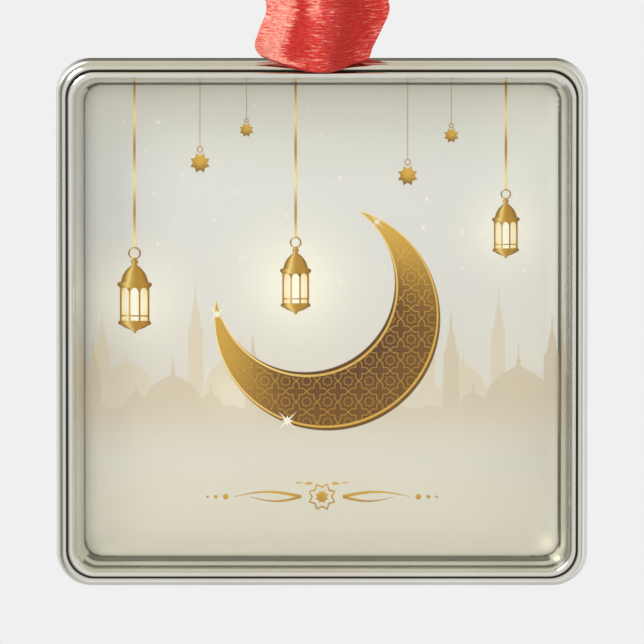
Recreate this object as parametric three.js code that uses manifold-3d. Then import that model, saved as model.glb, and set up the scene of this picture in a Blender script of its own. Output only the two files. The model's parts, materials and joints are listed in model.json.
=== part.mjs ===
// Square hanging ornament: a stepped metal frame round a domed print, hung on a ribbon loop.
// Millimetres. +X to the right of the picture, -Y towards the viewer, +Z up.
// The origin is the hanging point, just under the ribbon's knot.
import * as THREE from "three";
import { mergeVertices } from "three/addons/utils/BufferGeometryUtils.js";
import Module from "manifold-3d";

const wasm = await Module();
wasm.setup();

// Whole object
const FRAME_WIDTH = 58.4; // outer width and height of the square frame
const FRAME_DEPTH = 6.25;
const OUTER_CORNER = 3.8; // corner radius of the frame's outside
const CORNER_TIGHTENING = 0.63; // how fast corner radii shrink with distance in from the outside
const HANG_DEPTH = 3.95; // the loop's plane, behind the frame's front: the centre of mass hangs under it
const LOOP_TO_HANG = 65; // from the pivot in the wire loop up to the hanging point
const PIVOT_ABOVE_FRAME = 2.8;

// Frame section, as distance in from the outer edge and depth behind the inner bead's crest
const PARTING_DEPTH = 2.8; // the side walls are widest here and lean in to the front and to the back
const FRONT_LEAN = 0.15;
const BACK_LEAN = 0.4;
const OUTER_BEAD_WIDTH = 0.9;
const OUTER_BEAD_FRONT = 0.62;
const OUTER_BEAD_HEIGHT = 1.13;
const GROOVE_FLOOR = 1;
const GROOVE_WIDTH = 0.12;
const CREST_IN = 1.48;
const CREST_WIDTH = 0.14;
const BEAD_FOOT = [2.12, 1.2]; // where the inner bead meets the bevel
const BEVEL_BULGE = [2.62, 1.9];
const WINDOW_IN = 2.95; // distance in to the lip that frames the print
const LIP_FRONT = 3.5;
const LIP_BACK = 3.75;
const SEAT_IN = 2; // wall round the domed insert
const PLATE_SEAT_IN = 1.3; // wall round the back plate
const PLATE_SEAT_DEPTH = 5.45;
const BACK_CHAMFER = 0.2;

// Domed insert
const COVER_HALF = 27.05; // half width of the film where it turns down
const LIP_COVER_GAP = 0.1;
const DOME_RISE = 1.6;
const DOME_POWER = 4; // a high power keeps the middle flat and bends the rim
const COVER_CORNER = 2.39;
const SHOULDER_STEPS = 4;
const COVER_SKIRT = 5.18;
const COVER_THICKNESS = 0.2;
const PRINT_THICKNESS = 0.15;
const SHELL_THICKNESS = 0.35;
const LAYER_GAP = 0.05;
const SHELL_SKIRT = 5.35;
const PRINT_OFFSET = COVER_THICKNESS + LAYER_GAP;
const SHELL_OFFSET = PRINT_OFFSET + PRINT_THICKNESS + LAYER_GAP;
const CRIMP_WALL = 0.25;
const CRIMP_HEIGHT = 0.5;
const CRIMP_WIDTH = 2.2;

// Back plate
const PLATE_CLEARANCE = 0.06;
const PLATE_THICKNESS = 0.5;
const PLATE_PANEL_IN = 3.6; // rim of the plate round its pressed panel
const PLATE_PANEL_RISE = 0.2;

// Wire loop in the frame's top edge
const WIRE_RADIUS = 0.6;
const LOOP_HALF = 3.6;
const LOOP_CENTRE_TOP = 4.9;
const LOOP_BEND = 1.4;
const SOCKET_RADIUS = 0.68;
const SOCKET_DEPTH = 0.9;
const LEG_DEPTH = 0.8;

// Ribbon
const RIBBON_THICKNESS = 0.4;
const FOLD_RADIUS = 7; // the fold through the wire loop is cut off at this radius round the pivot
const FOLD_GAP = 0.4;
const CUT_MARGIN = 1; // fold and strands are made this much longer than their cuts
const RIDGE = -0.22; // where the ribbon's broad ridge runs, from its left edge (-1) to its right edge (1)
const KNOT_RADII = [5.2, 3.9, 3.9];
const KNOT_CENTRE = 4.3; // above the hanging point
const TAIL_LENGTH = 20;
const TAIL_FOOT = 2.1; // sideways from the knot's middle to a tail's foot
const KNOT_DIP = 0.05; // how far the tails' feet sit below the knot's top
const TAIL_TILT = THREE.MathUtils.degToRad(32);

const HALF = FRAME_WIDTH / 2;
const FRAME_TOP = -LOOP_TO_HANG - PIVOT_ABOVE_FRAME;
const FRAME_CENTRE = FRAME_TOP - HALF;
const CORNER_STEPS = 8;

const METAL = { color: 0xd9d7d0, metalness: 1, roughness: 0.12 };
const materials = {
  frame: new THREE.MeshStandardMaterial(METAL),
  loop: new THREE.MeshStandardMaterial(METAL),
  cover: new THREE.MeshStandardMaterial({ color: 0xffffff, roughness: 0.05, transparent: true, opacity: 0.25 }),
  print: new THREE.MeshStandardMaterial({ color: 0xdedacb, roughness: 0.5 }),
  steel: new THREE.MeshStandardMaterial({ color: 0xb8b8b4, metalness: 1, roughness: 0.35 }),
  ribbon: new THREE.MeshStandardMaterial({ color: 0xd9433a, roughness: 0.45 }),
};

// Points of a square with rounded corners, in the frame's plane, counter-clockwise from +X
function roundedSquare(half, radius) {
  const points = [];
  const centre = half - radius;
  for (let corner = 0; corner < 4; corner++) {
    for (let step = 0; step <= CORNER_STEPS; step++) {
      const angle = (corner + step / CORNER_STEPS) * (Math.PI / 2);
      const signX = corner === 0 || corner === 3 ? 1 : -1;
      const signZ = corner < 2 ? 1 : -1;
      points.push([signX * centre + radius * Math.cos(angle), signZ * centre + radius * Math.sin(angle)]);
    }
  }
  return points;
}

// One ring of corners at a depth behind the frame's front
function ringAt(half, radius, depth) {
  return roundedSquare(half, radius).map(
    ([x, z]) => new THREE.Vector3(x, depth - HANG_DEPTH, FRAME_CENTRE + z),
  );
}

// A closed mesh from its corners and faces, turned so that the faces point out
function solid(vertices, faces) {
  let volume = 0;
  for (const [a, b, c] of faces) {
    volume += vertices[a].dot(vertices[b].clone().cross(vertices[c]));
  }
  const index = volume < 0 ? faces.map(([a, b, c]) => [a, c, b]) : faces;
  const geometry = new THREE.BufferGeometry();
  geometry.setAttribute("position", new THREE.Float32BufferAttribute(vertices.flatMap((v) => v.toArray()), 3));
  geometry.setIndex(index.flat());
  return geometry;
}

// Faces between consecutive rings of equal count. A closed tube joins the last ring to the first
function stripFaces(ringCount, size, closed) {
  const faces = [];
  const last = closed ? ringCount : ringCount - 1;
  for (let ring = 0; ring < last; ring++) {
    const next = (ring + 1) % ringCount;
    for (let i = 0; i < size; i++) {
      const j = (i + 1) % size;
      faces.push([ring * size + i, ring * size + j, next * size + j]);
      faces.push([ring * size + i, next * size + j, next * size + i]);
    }
  }
  return faces;
}

// A square tube: one closed section carried round the rounded square
function frameTube(section, radiusAt) {
  const rings = section.map(([inset, depth]) => ringAt(HALF - inset, radiusAt(inset), depth));
  return solid(rings.flat(), stripFaces(rings.length, rings[0].length, true));
}

// A pressed sheet: an outline from the middle of its front, round its rim, to the middle of its back
function pressedSheet(outline, radiusAt) {
  const inner = outline.slice(1, -1);
  const rings = inner.map(([half, depth]) => ringAt(half, radiusAt(half), depth));
  const size = rings[0].length;
  const faces = stripFaces(rings.length, size, false);
  const vertices = rings.flat();
  const front = vertices.push(new THREE.Vector3(0, outline[0][1] - HANG_DEPTH, FRAME_CENTRE)) - 1;
  const back = vertices.push(new THREE.Vector3(0, outline.at(-1)[1] - HANG_DEPTH, FRAME_CENTRE)) - 1;
  const lastRing = (rings.length - 1) * size;
  for (let i = 0; i < size; i++) {
    const j = (i + 1) % size;
    faces.push([front, j, i]);
    faces.push([back, lastRing + i, lastRing + j]);
  }
  return solid(vertices, faces);
}

const frameCorner = (inset) => OUTER_CORNER - CORNER_TIGHTENING * inset;

// The frame's section: outer bead, groove, inner bead, bevel, lip and the two seats behind it
function frameSection() {
  const path = new THREE.Path();
  const beadBack = OUTER_BEAD_FRONT + OUTER_BEAD_HEIGHT;
  const beadIn = FRONT_LEAN + OUTER_BEAD_WIDTH;
  const groove = beadIn + 0.05;
  path.moveTo(BACK_LEAN + BACK_CHAMFER, FRAME_DEPTH);
  path.lineTo(BACK_LEAN, FRAME_DEPTH - BACK_CHAMFER);
  path.lineTo(0, PARTING_DEPTH);
  path.lineTo(FRONT_LEAN, beadBack);
  path.absellipse(beadIn, beadBack, OUTER_BEAD_WIDTH, OUTER_BEAD_HEIGHT, Math.PI, Math.PI * 1.5, false, 0);
  path.lineTo(groove, GROOVE_FLOOR);
  path.lineTo(groove + GROOVE_WIDTH, GROOVE_FLOOR);
  path.quadraticCurveTo(groove + GROOVE_WIDTH + 0.04, 0, CREST_IN, 0);
  path.lineTo(CREST_IN + CREST_WIDTH, 0);
  path.quadraticCurveTo(BEAD_FOOT[0] - 0.02, 0, ...BEAD_FOOT);
  path.quadraticCurveTo(...BEVEL_BULGE, WINDOW_IN, LIP_FRONT);
  path.lineTo(WINDOW_IN, LIP_BACK);
  path.lineTo(SEAT_IN, LIP_BACK);
  path.lineTo(SEAT_IN, PLATE_SEAT_DEPTH);
  path.lineTo(PLATE_SEAT_IN, PLATE_SEAT_DEPTH);
  path.lineTo(PLATE_SEAT_IN, FRAME_DEPTH);
  return path.getPoints(5).map((p) => [p.x, p.y]);
}

function toManifold(geometry) {
  const bare = geometry.clone();
  bare.deleteAttribute("normal");
  bare.deleteAttribute("uv");
  const merged = mergeVertices(bare, 1e-4);
  return new wasm.Manifold(
    new wasm.Mesh({
      numProp: 3,
      vertProperties: new Float32Array(merged.attributes.position.array),
      triVerts: new Uint32Array(merged.index.array),
    }),
  );
}

function fromManifold(body) {
  const mesh = body.getMesh();
  const geometry = new THREE.BufferGeometry();
  geometry.setAttribute("position", new THREE.BufferAttribute(mesh.vertProperties, 3));
  geometry.setIndex(new THREE.BufferAttribute(mesh.triVerts, 1));
  return geometry;
}

// The frame, with a blind socket for each leg of the wire loop
function frameGeometry() {
  let body = toManifold(frameTube(frameSection(), frameCorner));
  for (const side of [-1, 1]) {
    const drill = new THREE.CylinderGeometry(SOCKET_RADIUS, SOCKET_RADIUS, 2 * SOCKET_DEPTH, 12);
    drill.rotateX(Math.PI / 2);
    drill.translate(side * LOOP_HALF, 0, FRAME_TOP);
    body = body.subtract(toManifold(drill));
  }
  return fromManifold(body);
}

// Round wire, bent into an arch that stands in the frame's top edge
function loopGeometry() {
  const foot = FRAME_TOP - LEG_DEPTH;
  const top = FRAME_TOP + LOOP_CENTRE_TOP;
  const point = (x, z) => new THREE.Vector3(x, 0, z);
  const path = new THREE.CurvePath();
  const legs = [-1, 1].map((side) => side * LOOP_HALF);
  const bend = (x, inward) => point(x + inward * LOOP_BEND, top);
  path.add(new THREE.LineCurve3(point(legs[0], foot), point(legs[0], top - LOOP_BEND)));
  path.add(new THREE.QuadraticBezierCurve3(point(legs[0], top - LOOP_BEND), point(legs[0], top), bend(legs[0], 1)));
  path.add(new THREE.LineCurve3(bend(legs[0], 1), bend(legs[1], -1)));
  path.add(new THREE.QuadraticBezierCurve3(bend(legs[1], -1), point(legs[1], top), point(legs[1], top - LOOP_BEND)));
  path.add(new THREE.LineCurve3(point(legs[1], top - LOOP_BEND), point(legs[1], foot)));
  const section = new THREE.Shape().absarc(0, 0, WIRE_RADIUS, 0, Math.PI * 2);
  return new THREE.ExtrudeGeometry(section, { steps: 36, curveSegments: 5, extrudePath: path });
}

// One face of a layer of the insert, as half width and depth from the middle to the end of its skirt.
// It lies a distance below the film's outer face, square to it, and turns down round one shared centre
function domeProfile(distance, skirtEnd) {
  const edge = HALF - WINDOW_IN;
  const edgeDepth = LIP_BACK + LIP_COVER_GAP;
  const depthAt = (half) => edgeDepth - DOME_RISE + DOME_RISE * (half / edge) ** DOME_POWER;
  const slopeAt = (half) => Math.atan((DOME_POWER * DOME_RISE * (half / edge) ** (DOME_POWER - 1)) / edge);
  const points = [0, 0.25, 0.5, 0.7, 0.84, 0.93, 1].map((share) => {
    const half = share * edge;
    const slope = slopeAt(half);
    return [half - distance * Math.sin(slope), depthAt(half) + distance * Math.cos(slope)];
  });
  const slope = slopeAt(edge);
  const radius = (COVER_HALF - edge) / (1 - Math.sin(slope));
  const bendDepth = edgeDepth + radius * Math.cos(slope);
  for (let step = 1; step <= SHOULDER_STEPS; step++) {
    const angle = slope + ((Math.PI / 2 - slope) * step) / SHOULDER_STEPS;
    const reach = radius - distance;
    points.push([COVER_HALF - radius + reach * Math.sin(angle), bendDepth - reach * Math.cos(angle)]);
  }
  points.push([COVER_HALF - distance, skirtEnd]);
  return points;
}

// Rings grow rounder towards the middle, so the dome has no crease along its diagonals
function domeCorner(half) {
  const roundness = 1 - (1 - COVER_CORNER / COVER_HALF) * (half / COVER_HALF) ** 2;
  return half * Math.max(roundness, 0.02);
}

// One layer of the insert, between two distances below the film's outer face
function domeLayer(outer, thickness, skirtEnd) {
  const front = domeProfile(outer, skirtEnd);
  const back = domeProfile(outer + thickness, skirtEnd);
  return pressedSheet([...front, ...back.reverse()], domeCorner);
}

// Ring of L section that holds the film and paper against the inside of the shell's skirt
function crimpGeometry() {
  const inset = HALF - COVER_HALF + SHELL_OFFSET + SHELL_THICKNESS + LAYER_GAP;
  const top = SHELL_SKIRT - CRIMP_HEIGHT;
  const section = [
    [inset, top],
    [inset, SHELL_SKIRT],
    [inset + CRIMP_WIDTH, SHELL_SKIRT],
    [inset + CRIMP_WIDTH, SHELL_SKIRT - CRIMP_WALL],
    [inset + CRIMP_WALL, SHELL_SKIRT - CRIMP_WALL],
    [inset + CRIMP_WALL, top],
  ];
  return frameTube(section, (distance) => domeCorner(HALF - distance));
}

function plateGeometry() {
  const rim = HALF - PLATE_SEAT_IN - PLATE_CLEARANCE;
  const front = PLATE_SEAT_DEPTH + 0.02;
  const back = front + PLATE_THICKNESS;
  const panel = rim - PLATE_PANEL_IN;
  const slope = 0.4;
  const outline = [
    [0, front + PLATE_PANEL_RISE],
    [panel - slope, front + PLATE_PANEL_RISE],
    [panel, front],
    [rim, front],
    [rim, back],
    [panel, back],
    [panel - slope, back + PLATE_PANEL_RISE],
    [0, back + PLATE_PANEL_RISE],
  ];
  return pressedSheet(outline, (half) => Math.max(frameCorner(PLATE_SEAT_IN) - (rim - half) * 0.5, 0.8));
}

// Ribbon stations round the pivot in the wire loop, from the fold inside it up to the knot.
// x gives the left and right edges. y and z give left edge, ridge and right edge.
// pleat is the depth of the fine gathers, and wave that of the broad folds.
const onFold = (y, radius) => Math.sqrt(radius ** 2 - y ** 2);

function foldStations(front) {
  const y = front ? -1 : 1;
  const shape = front
    ? [
        { x: [-4.2, 3.6], y: [2.1, 2.4, 2.1], z: [-1.1, -1.6, -1.2], pleat: 0.7, wave: 0 },
        { x: [-6.2, 4.8], y: [3.7, 4.6, 3.6], z: [-2.4, -4.2, -2.6], pleat: 0.1, wave: 0.05 },
        { x: [-7.3, 6.0], y: [4.2, 5.1, 4.0], z: [-1.2, -2.2, -1.3], pleat: 0.2, wave: 0.3 },
        { x: [-6.8, 6.9], y: [4.4, 5.6, 4.5], z: [0.8, 0.5, 0.8], pleat: 0.15, wave: 0.35 },
      ]
    : [
        { x: [-3.8, 3.8], y: [2.1, 2.4, 2.1], z: [-0.9, -1.3, -0.9], pleat: 0.7, wave: 0 },
        { x: [-5.2, 5.2], y: [3.3, 3.9, 3.2], z: [-1.7, -2.6, -1.6], pleat: 0.15, wave: 0.1 },
        { x: [-5.7, 6.1], y: [4.1, 4.8, 4.1], z: [-0.4, -1.0, -0.4], pleat: 0.2, wave: 0.3 },
        { x: [-5.9, 6.5], y: [4.5, 5.3, 4.5], z: [1.3, 1.1, 1.3], pleat: 0.15, wave: 0.35 },
      ];
  const ring = { x: [-2.5, 2.5], y: [0, 0, 0], z: [0, 0, 0], pleat: 0.9, wave: 0 };
  const signed = shape.map((s) => ({ ...s, y: s.y.map((v) => v * y) }));
  return [ring, ...signed];
}

// The stretch where the fold meets its strand, at a radius round the pivot
function joinStation(front, radius) {
  const y = front ? -1 : 1;
  const depths = [4.6, 5.4, 4.7];
  return {
    x: front ? [-6.4, 7.3] : [-5.9, 6.6],
    y: depths.map((v) => v * y),
    z: depths.map((v) => onFold(v, radius)),
    pleat: 0.15,
    wave: 0.35,
  };
}

function strandStations(front) {
  const y = front ? -1 : 1;
  const knotEnd = LOOP_TO_HANG + 0.15;
  return [
    joinStation(front, FOLD_RADIUS + FOLD_GAP - CUT_MARGIN),
    { x: [-7.2, 7.3], y: [5.7, 6.6, 5.7], z: [18, 18, 18], pleat: 0.1, wave: 0.4 },
    { x: [-7.3, 7.2], y: [5.0, 5.8, 5.0], z: [38, 38, 38], pleat: 0.12, wave: 0.4 },
    { x: [-5.2, 5.2], y: [3.2, 3.6, 3.2], z: [54, 54, 54], pleat: 0.4, wave: 0.2 },
    { x: [-2.9, 2.9], y: [1.7, 1.7, 1.7], z: [knotEnd + 0.9, knotEnd, knotEnd + 0.9], pleat: 0.8, wave: 0 },
  ].map((s, i) => (i === 0 ? s : { ...s, y: s.y.map((v) => v * y) }));
}

// Smooth value through a list of stations, for one number of each
function along(values, t) {
  const last = values.length - 1;
  const place = Math.min(t * last, last - 1e-9);
  const i = Math.floor(place);
  const f = place - i;
  const at = (k) => values[Math.min(Math.max(k, 0), last)];
  const [a, b, c, d] = [at(i - 1), at(i), at(i + 1), at(i + 2)];
  return b + 0.5 * f * (c - a + f * (2 * a - 5 * b + 4 * c - d + f * (3 * (b - c) + d - a)));
}

// Value across the ribbon, from its left edge over its ridge to its right edge
function across(triple, u) {
  const left = u < RIDGE;
  const share = left ? (RIDGE - u) / (1 + RIDGE) : (u - RIDGE) / (1 - RIDGE);
  return triple[1] + ((left ? triple[0] : triple[2]) - triple[1]) * share ** 1.3;
}

// A point of the ribbon's middle surface, and the direction square to it in the plane of the path
function ribbonSurface(stations, pivotZ) {
  const middle = (u, t) => {
    const x = along(stations.map((s) => (u < 0 ? -s.x[0] : s.x[1])), t) * u;
    const y = along(stations.map((s) => across(s.y, u)), t);
    const z = along(stations.map((s) => across(s.z, u)), t);
    return new THREE.Vector3(x, y, z);
  };
  return (u, t) => {
    const step = 1e-3;
    const ahead = middle(u, Math.min(t + step, 1));
    const behind = middle(u, Math.max(t - step, 0));
    const run = ahead.sub(behind).setX(0).normalize();
    const normal = new THREE.Vector3(0, -run.z, run.y);
    const pleat = along(stations.map((s) => s.pleat), t) * Math.cos(Math.PI * (2.5 * u + 0.25));
    const wave = along(stations.map((s) => s.wave), t) * Math.cos((Math.PI * (u + 0.35)) / 0.65);
    const point = middle(u, t).addScaledVector(normal, pleat + wave);
    point.z += pivotZ;
    return { point, normal };
  };
}

// A closed sheet of even thickness round a surface of u across and t along
function sheetSolid(surface, acrossSteps, alongSteps) {
  const vertices = [];
  const faces = [];
  const size = 2 * (acrossSteps + 1);
  for (let j = 0; j <= alongSteps; j++) {
    const row = [];
    for (let i = 0; i <= acrossSteps; i++) {
      row.push(surface((2 * i) / acrossSteps - 1, j / alongSteps));
    }
    const half = RIBBON_THICKNESS / 2;
    for (const { point, normal } of row) vertices.push(point.clone().addScaledVector(normal, half));
    for (const { point, normal } of row.reverse()) vertices.push(point.clone().addScaledVector(normal, -half));
  }
  faces.push(...stripFaces(alongSteps + 1, size, false));
  for (const start of [0, alongSteps * size]) {
    for (let i = 0; i < acrossSteps; i++) {
      const [a, b] = [start + i, start + i + 1];
      const [c, d] = [start + size - 2 - i, start + size - 1 - i];
      const quad = start === 0 ? [[a, c, b], [a, d, c]] : [[a, b, c], [a, c, d]];
      faces.push(...quad);
    }
  }
  return solid(vertices, faces);
}

// A cylinder along the pivot in the wire loop
function roundPivot(radius) {
  const cylinder = new THREE.CylinderGeometry(radius, radius, 4 * FOLD_RADIUS, 96);
  cylinder.rotateZ(Math.PI / 2);
  cylinder.translate(0, 0, -LOOP_TO_HANG);
  return toManifold(cylinder);
}

// The fold through the wire loop, from the front strand's foot to the back strand's.
// Both cuts follow the swing, so the fold turns clear of the strands
function foldGeometry() {
  const end = FOLD_RADIUS + CUT_MARGIN;
  const frontHalf = [...foldStations(true), joinStation(true, end)];
  const backHalf = [...foldStations(false), joinStation(false, end)];
  const stations = [...frontHalf.reverse(), ...backHalf.slice(1)];
  const sheet = sheetSolid(ribbonSurface(stations, -LOOP_TO_HANG), 18, 28);
  return fromManifold(toManifold(sheet).intersect(roundPivot(FOLD_RADIUS)));
}

function strandGeometry(front) {
  const sheet = sheetSolid(ribbonSurface(strandStations(front), -LOOP_TO_HANG), 14, 18);
  return fromManifold(toManifold(sheet).subtract(roundPivot(FOLD_RADIUS + FOLD_GAP)));
}

// The knot: a rounded body with the ribbon's turns wound slantwise round it
function knotGeometry() {
  const body = new THREE.SphereGeometry(1, 30, 18);
  const position = body.attributes.position;
  for (let i = 0; i < position.count; i++) {
    const p = new THREE.Vector3().fromBufferAttribute(position, i);
    const around = Math.atan2(p.y, p.x);
    const level = Math.sqrt(Math.max(1 - p.z * p.z, 0));
    const turns = 0.07 * level * Math.cos(4 * p.z + around) + 0.04 * level * Math.cos(3 * around);
    const swell = 1 + turns - 0.07 * level;
    p.multiply(new THREE.Vector3(...KNOT_RADII)).multiplyScalar(swell);
    position.setXYZ(i, p.x, p.y, p.z + KNOT_CENTRE);
  }
  body.deleteAttribute("normal");
  body.deleteAttribute("uv");
  return mergeVertices(body, 1e-4);
}

// One end of the ribbon, fanning out above the knot to a slanted cut
function tailGeometry(side) {
  const surface = (u, t) => {
    const half = 1.8 + 5.6 * Math.sin((Math.PI / 2) * t);
    const slant = 2.5 * u * t * t;
    const run = TAIL_LENGTH * t + slant;
    const bend = 1.4 * Math.sin(Math.PI * t) + 0.5 * Math.cos(2 * Math.PI * u) * (1 - 0.6 * t);
    const cos = Math.cos(TAIL_TILT);
    const sin = Math.sin(TAIL_TILT);
    const x = side * (TAIL_FOOT + run * sin + half * u * cos);
    const z = KNOT_CENTRE + KNOT_RADII[2] - KNOT_DIP + run * cos - half * u * sin;
    return {
      point: new THREE.Vector3(x, side * (0.6 + bend), z),
      normal: new THREE.Vector3(0, 1, 0),
    };
  };
  return sheetSolid(surface, 10, 12);
}

const ornament = new THREE.Group();

function add(group, name, geometry, material) {
  const mesh = new THREE.Mesh(geometry, material);
  mesh.name = name;
  group.add(mesh);
}

const housing = new THREE.Group();
add(housing, "frame", frameGeometry(), materials.frame);
add(housing, "hanging_loop", loopGeometry(), materials.loop);
add(housing, "back_plate", plateGeometry(), materials.steel);
ornament.add(housing);

const insert = new THREE.Group();
add(insert, "clear_cover", domeLayer(0, COVER_THICKNESS, COVER_SKIRT), materials.cover);
add(insert, "printed_insert", domeLayer(PRINT_OFFSET, PRINT_THICKNESS, COVER_SKIRT - 0.1), materials.print);
add(insert, "dome_shell", domeLayer(SHELL_OFFSET, SHELL_THICKNESS, SHELL_SKIRT), materials.steel);
add(insert, "crimp_ring", crimpGeometry(), materials.steel);
ornament.add(insert);

const ribbon = new THREE.Group();
add(ribbon, "ribbon_fold", foldGeometry(), materials.ribbon);
add(ribbon, "ribbon_front_strand", strandGeometry(true), materials.ribbon);
add(ribbon, "ribbon_back_strand", strandGeometry(false), materials.ribbon);
add(ribbon, "ribbon_knot", knotGeometry(), materials.ribbon);
add(ribbon, "ribbon_tail_left", tailGeometry(-1), materials.ribbon);
add(ribbon, "ribbon_tail_right", tailGeometry(1), materials.ribbon);
ornament.add(ribbon);

export default ornament;
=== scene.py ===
"""Looks of the square hanging ornament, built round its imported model.

Metres, +Z up, the picture faces -Y. Lengths of the ornament's own features are named in millimetres.
"""

import math
import random

import bpy
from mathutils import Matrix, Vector, noise
from mathutils.geometry import tessellate_polygon
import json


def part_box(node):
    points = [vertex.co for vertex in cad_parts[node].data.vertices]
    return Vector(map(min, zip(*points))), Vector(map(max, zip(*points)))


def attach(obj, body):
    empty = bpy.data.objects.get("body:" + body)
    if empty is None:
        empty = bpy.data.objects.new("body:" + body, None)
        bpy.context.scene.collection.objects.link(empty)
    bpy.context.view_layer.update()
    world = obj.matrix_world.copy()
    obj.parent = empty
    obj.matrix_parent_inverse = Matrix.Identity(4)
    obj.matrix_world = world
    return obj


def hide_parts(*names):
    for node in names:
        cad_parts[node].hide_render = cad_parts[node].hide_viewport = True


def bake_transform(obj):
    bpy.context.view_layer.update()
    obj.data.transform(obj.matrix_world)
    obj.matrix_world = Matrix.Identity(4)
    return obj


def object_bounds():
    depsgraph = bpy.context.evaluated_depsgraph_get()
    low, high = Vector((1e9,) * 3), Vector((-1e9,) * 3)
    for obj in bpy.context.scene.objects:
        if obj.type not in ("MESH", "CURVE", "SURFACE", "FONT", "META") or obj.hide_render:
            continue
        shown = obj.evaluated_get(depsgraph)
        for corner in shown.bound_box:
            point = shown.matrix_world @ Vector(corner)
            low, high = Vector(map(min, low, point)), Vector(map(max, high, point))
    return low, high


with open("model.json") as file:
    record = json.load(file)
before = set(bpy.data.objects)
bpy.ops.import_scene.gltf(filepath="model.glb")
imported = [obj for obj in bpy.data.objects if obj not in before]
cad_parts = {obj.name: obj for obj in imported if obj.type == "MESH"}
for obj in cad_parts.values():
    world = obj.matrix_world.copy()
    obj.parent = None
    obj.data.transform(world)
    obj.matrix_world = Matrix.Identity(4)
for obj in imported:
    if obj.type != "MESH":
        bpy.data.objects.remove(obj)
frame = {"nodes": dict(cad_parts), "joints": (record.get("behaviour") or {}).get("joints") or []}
cad_low, cad_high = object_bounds()

MM = 0.001
frame_low, frame_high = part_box("frame")
HALF = (frame_high.x - frame_low.x) / 2 / MM
MIDDLE_Z = (frame_high.z + frame_low.z) / 2
FRONT_Y = frame_low.y
FRAME_DEPTH = (frame_high.y - frame_low.y) / MM
PIVOT = Vector(frame["joints"][0]["pos_m"])

# Section of the frame: distance in from the outer edge, depth behind the inner bead's crest
OUTER_CORNER = 3.8
CORNER_TIGHTENING = 0.63
PARTING_DEPTH = 2.8
FRONT_LEAN = 0.15
BACK_LEAN = 0.4
OUTER_BEAD_WIDTH = 0.9
OUTER_BEAD_FRONT = 0.62
OUTER_BEAD_HEIGHT = 1.13
GROOVE_FLOOR = 1.0
GROOVE_WIDTH = 0.12
GROOVE = FRONT_LEAN + OUTER_BEAD_WIDTH + 0.05
CREST_IN = 1.48
CREST_WIDTH = 0.14
BEAD_FOOT = (2.12, 1.2)
BEVEL_BULGE = (2.62, 1.9)
WINDOW_IN = 3.05
LIP_FRONT = 3.5
LIP_BACK = 3.75
SEAT_IN = 2.0
PLATE_SEAT_IN = 1.3
PLATE_SEAT_DEPTH = 5.45
BACK_CHAMFER = 0.2

# Domed insert
COVER_HALF = 27.05
LIP_COVER_GAP = 0.1
DOME_RISE = 1.6
DOME_POWER = 4
COVER_CORNER = 2.39
COVER_SKIRT = 5.18
COVER_THICKNESS = 0.2
PRINT_BELOW = 0.25
PRINT_THICKNESS = 0.15
PRINT_SKIRT = 5.08
WINDOW = HALF - WINDOW_IN

# Wire loop
WIRE_RADIUS = 0.6
LOOP_HALF = 3.6
LOOP_CENTRE_TOP = 4.9
LOOP_BEND = 1.4
LEG_DEPTH = 0.8

# Ribbon, with its knot and tails above the hanging point
RIBBON_FLAT = 16
RIBBON_THICKNESS = 0.16
RIDGE = -0.12  # across the ribbon, from its left edge (-1) to its right edge (1)
LOOP_TO_HANG = -PIVOT.z / MM
STRANDS_MEET_FOLD = 7.3  # from the pivot
KNOT_RADII = (5.2, 3.9, 3.9)
KNOT_CENTRE = 4.3
TAIL_LENGTH = 20
TAIL_TILT = math.radians(32)
TAIL_FOOT = 2.1
TAIL_ROOT = 3.2  # length of tail inside the knot
KNOT_DIP = 0.05
# Painted highlight and painted shade of the satin across its width: how bright and how shaded it is
SHINE = [(-1.0, 0.72), (-0.86, 0.8), (-0.74, 1.15), (-0.64, 1.0), (-0.42, 0.0), (-0.3, 0.0), (-0.12, 0.3),
         (0.02, 0.3), (0.2, 0.1), (0.55, 0.05), (0.8, 0.25), (1.0, 0.4)]
SHADE = [(-1.0, 0.2), (-0.86, 0.0), (-0.5, 0.0), (-0.4, 0.15), (-0.1, 0.0), (0.06, 0.4), (0.26, 0.8),
         (0.5, 0.5), (0.8, 0.15), (1.0, 0.0)]

# Photograph
PICTURE_WIDTH = 70.7
CAMERA_DISTANCE = 2000
CAMERA_ELEVATION = math.radians(7)
CAMERA_AIM = 0.345
BACKGROUND = (0.871, 0.871, 0.871)


def srgb(red, green, blue):
    """Linear colour from the 0 to 255 numbers that a colour is usually written in."""
    def linear(value):
        value /= 255
        return value / 12.92 if value <= 0.04045 else ((value + 0.055) / 1.055) ** 2.4
    return (linear(red), linear(green), linear(blue), 1.0)


def mix(a, b, share):
    """Blend of two numbers or two colours."""
    if isinstance(a, tuple):
        return tuple(p + (q - p) * share for p, q in zip(a, b))
    return a + (b - a) * share


def smooth(low, high, value):
    """Rises smoothly from 0 at low to 1 at high."""
    share = min(max((value - low) / (high - low), 0.0), 1.0)
    return share * share * (3 - 2 * share)


def level_at(stops, u):
    """Value at u, between the stops of a list of (u, value)."""
    for (low, low_value), (high, high_value) in zip(stops, stops[1:]):
        if u < high:
            return mix(low_value, high_value, max(u - low, 0) / (high - low))
    return stops[-1][1]


def on_circle(centre, radius, angle):
    return (centre[0] + radius * math.cos(angle), centre[1] + radius * math.sin(angle))


def place(x, depth, z):
    """Point given in millimetres from the frame's middle and behind its front."""
    return Vector((x * MM, FRONT_Y + depth * MM, MIDDLE_Z + z * MM))


# Node materials

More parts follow.
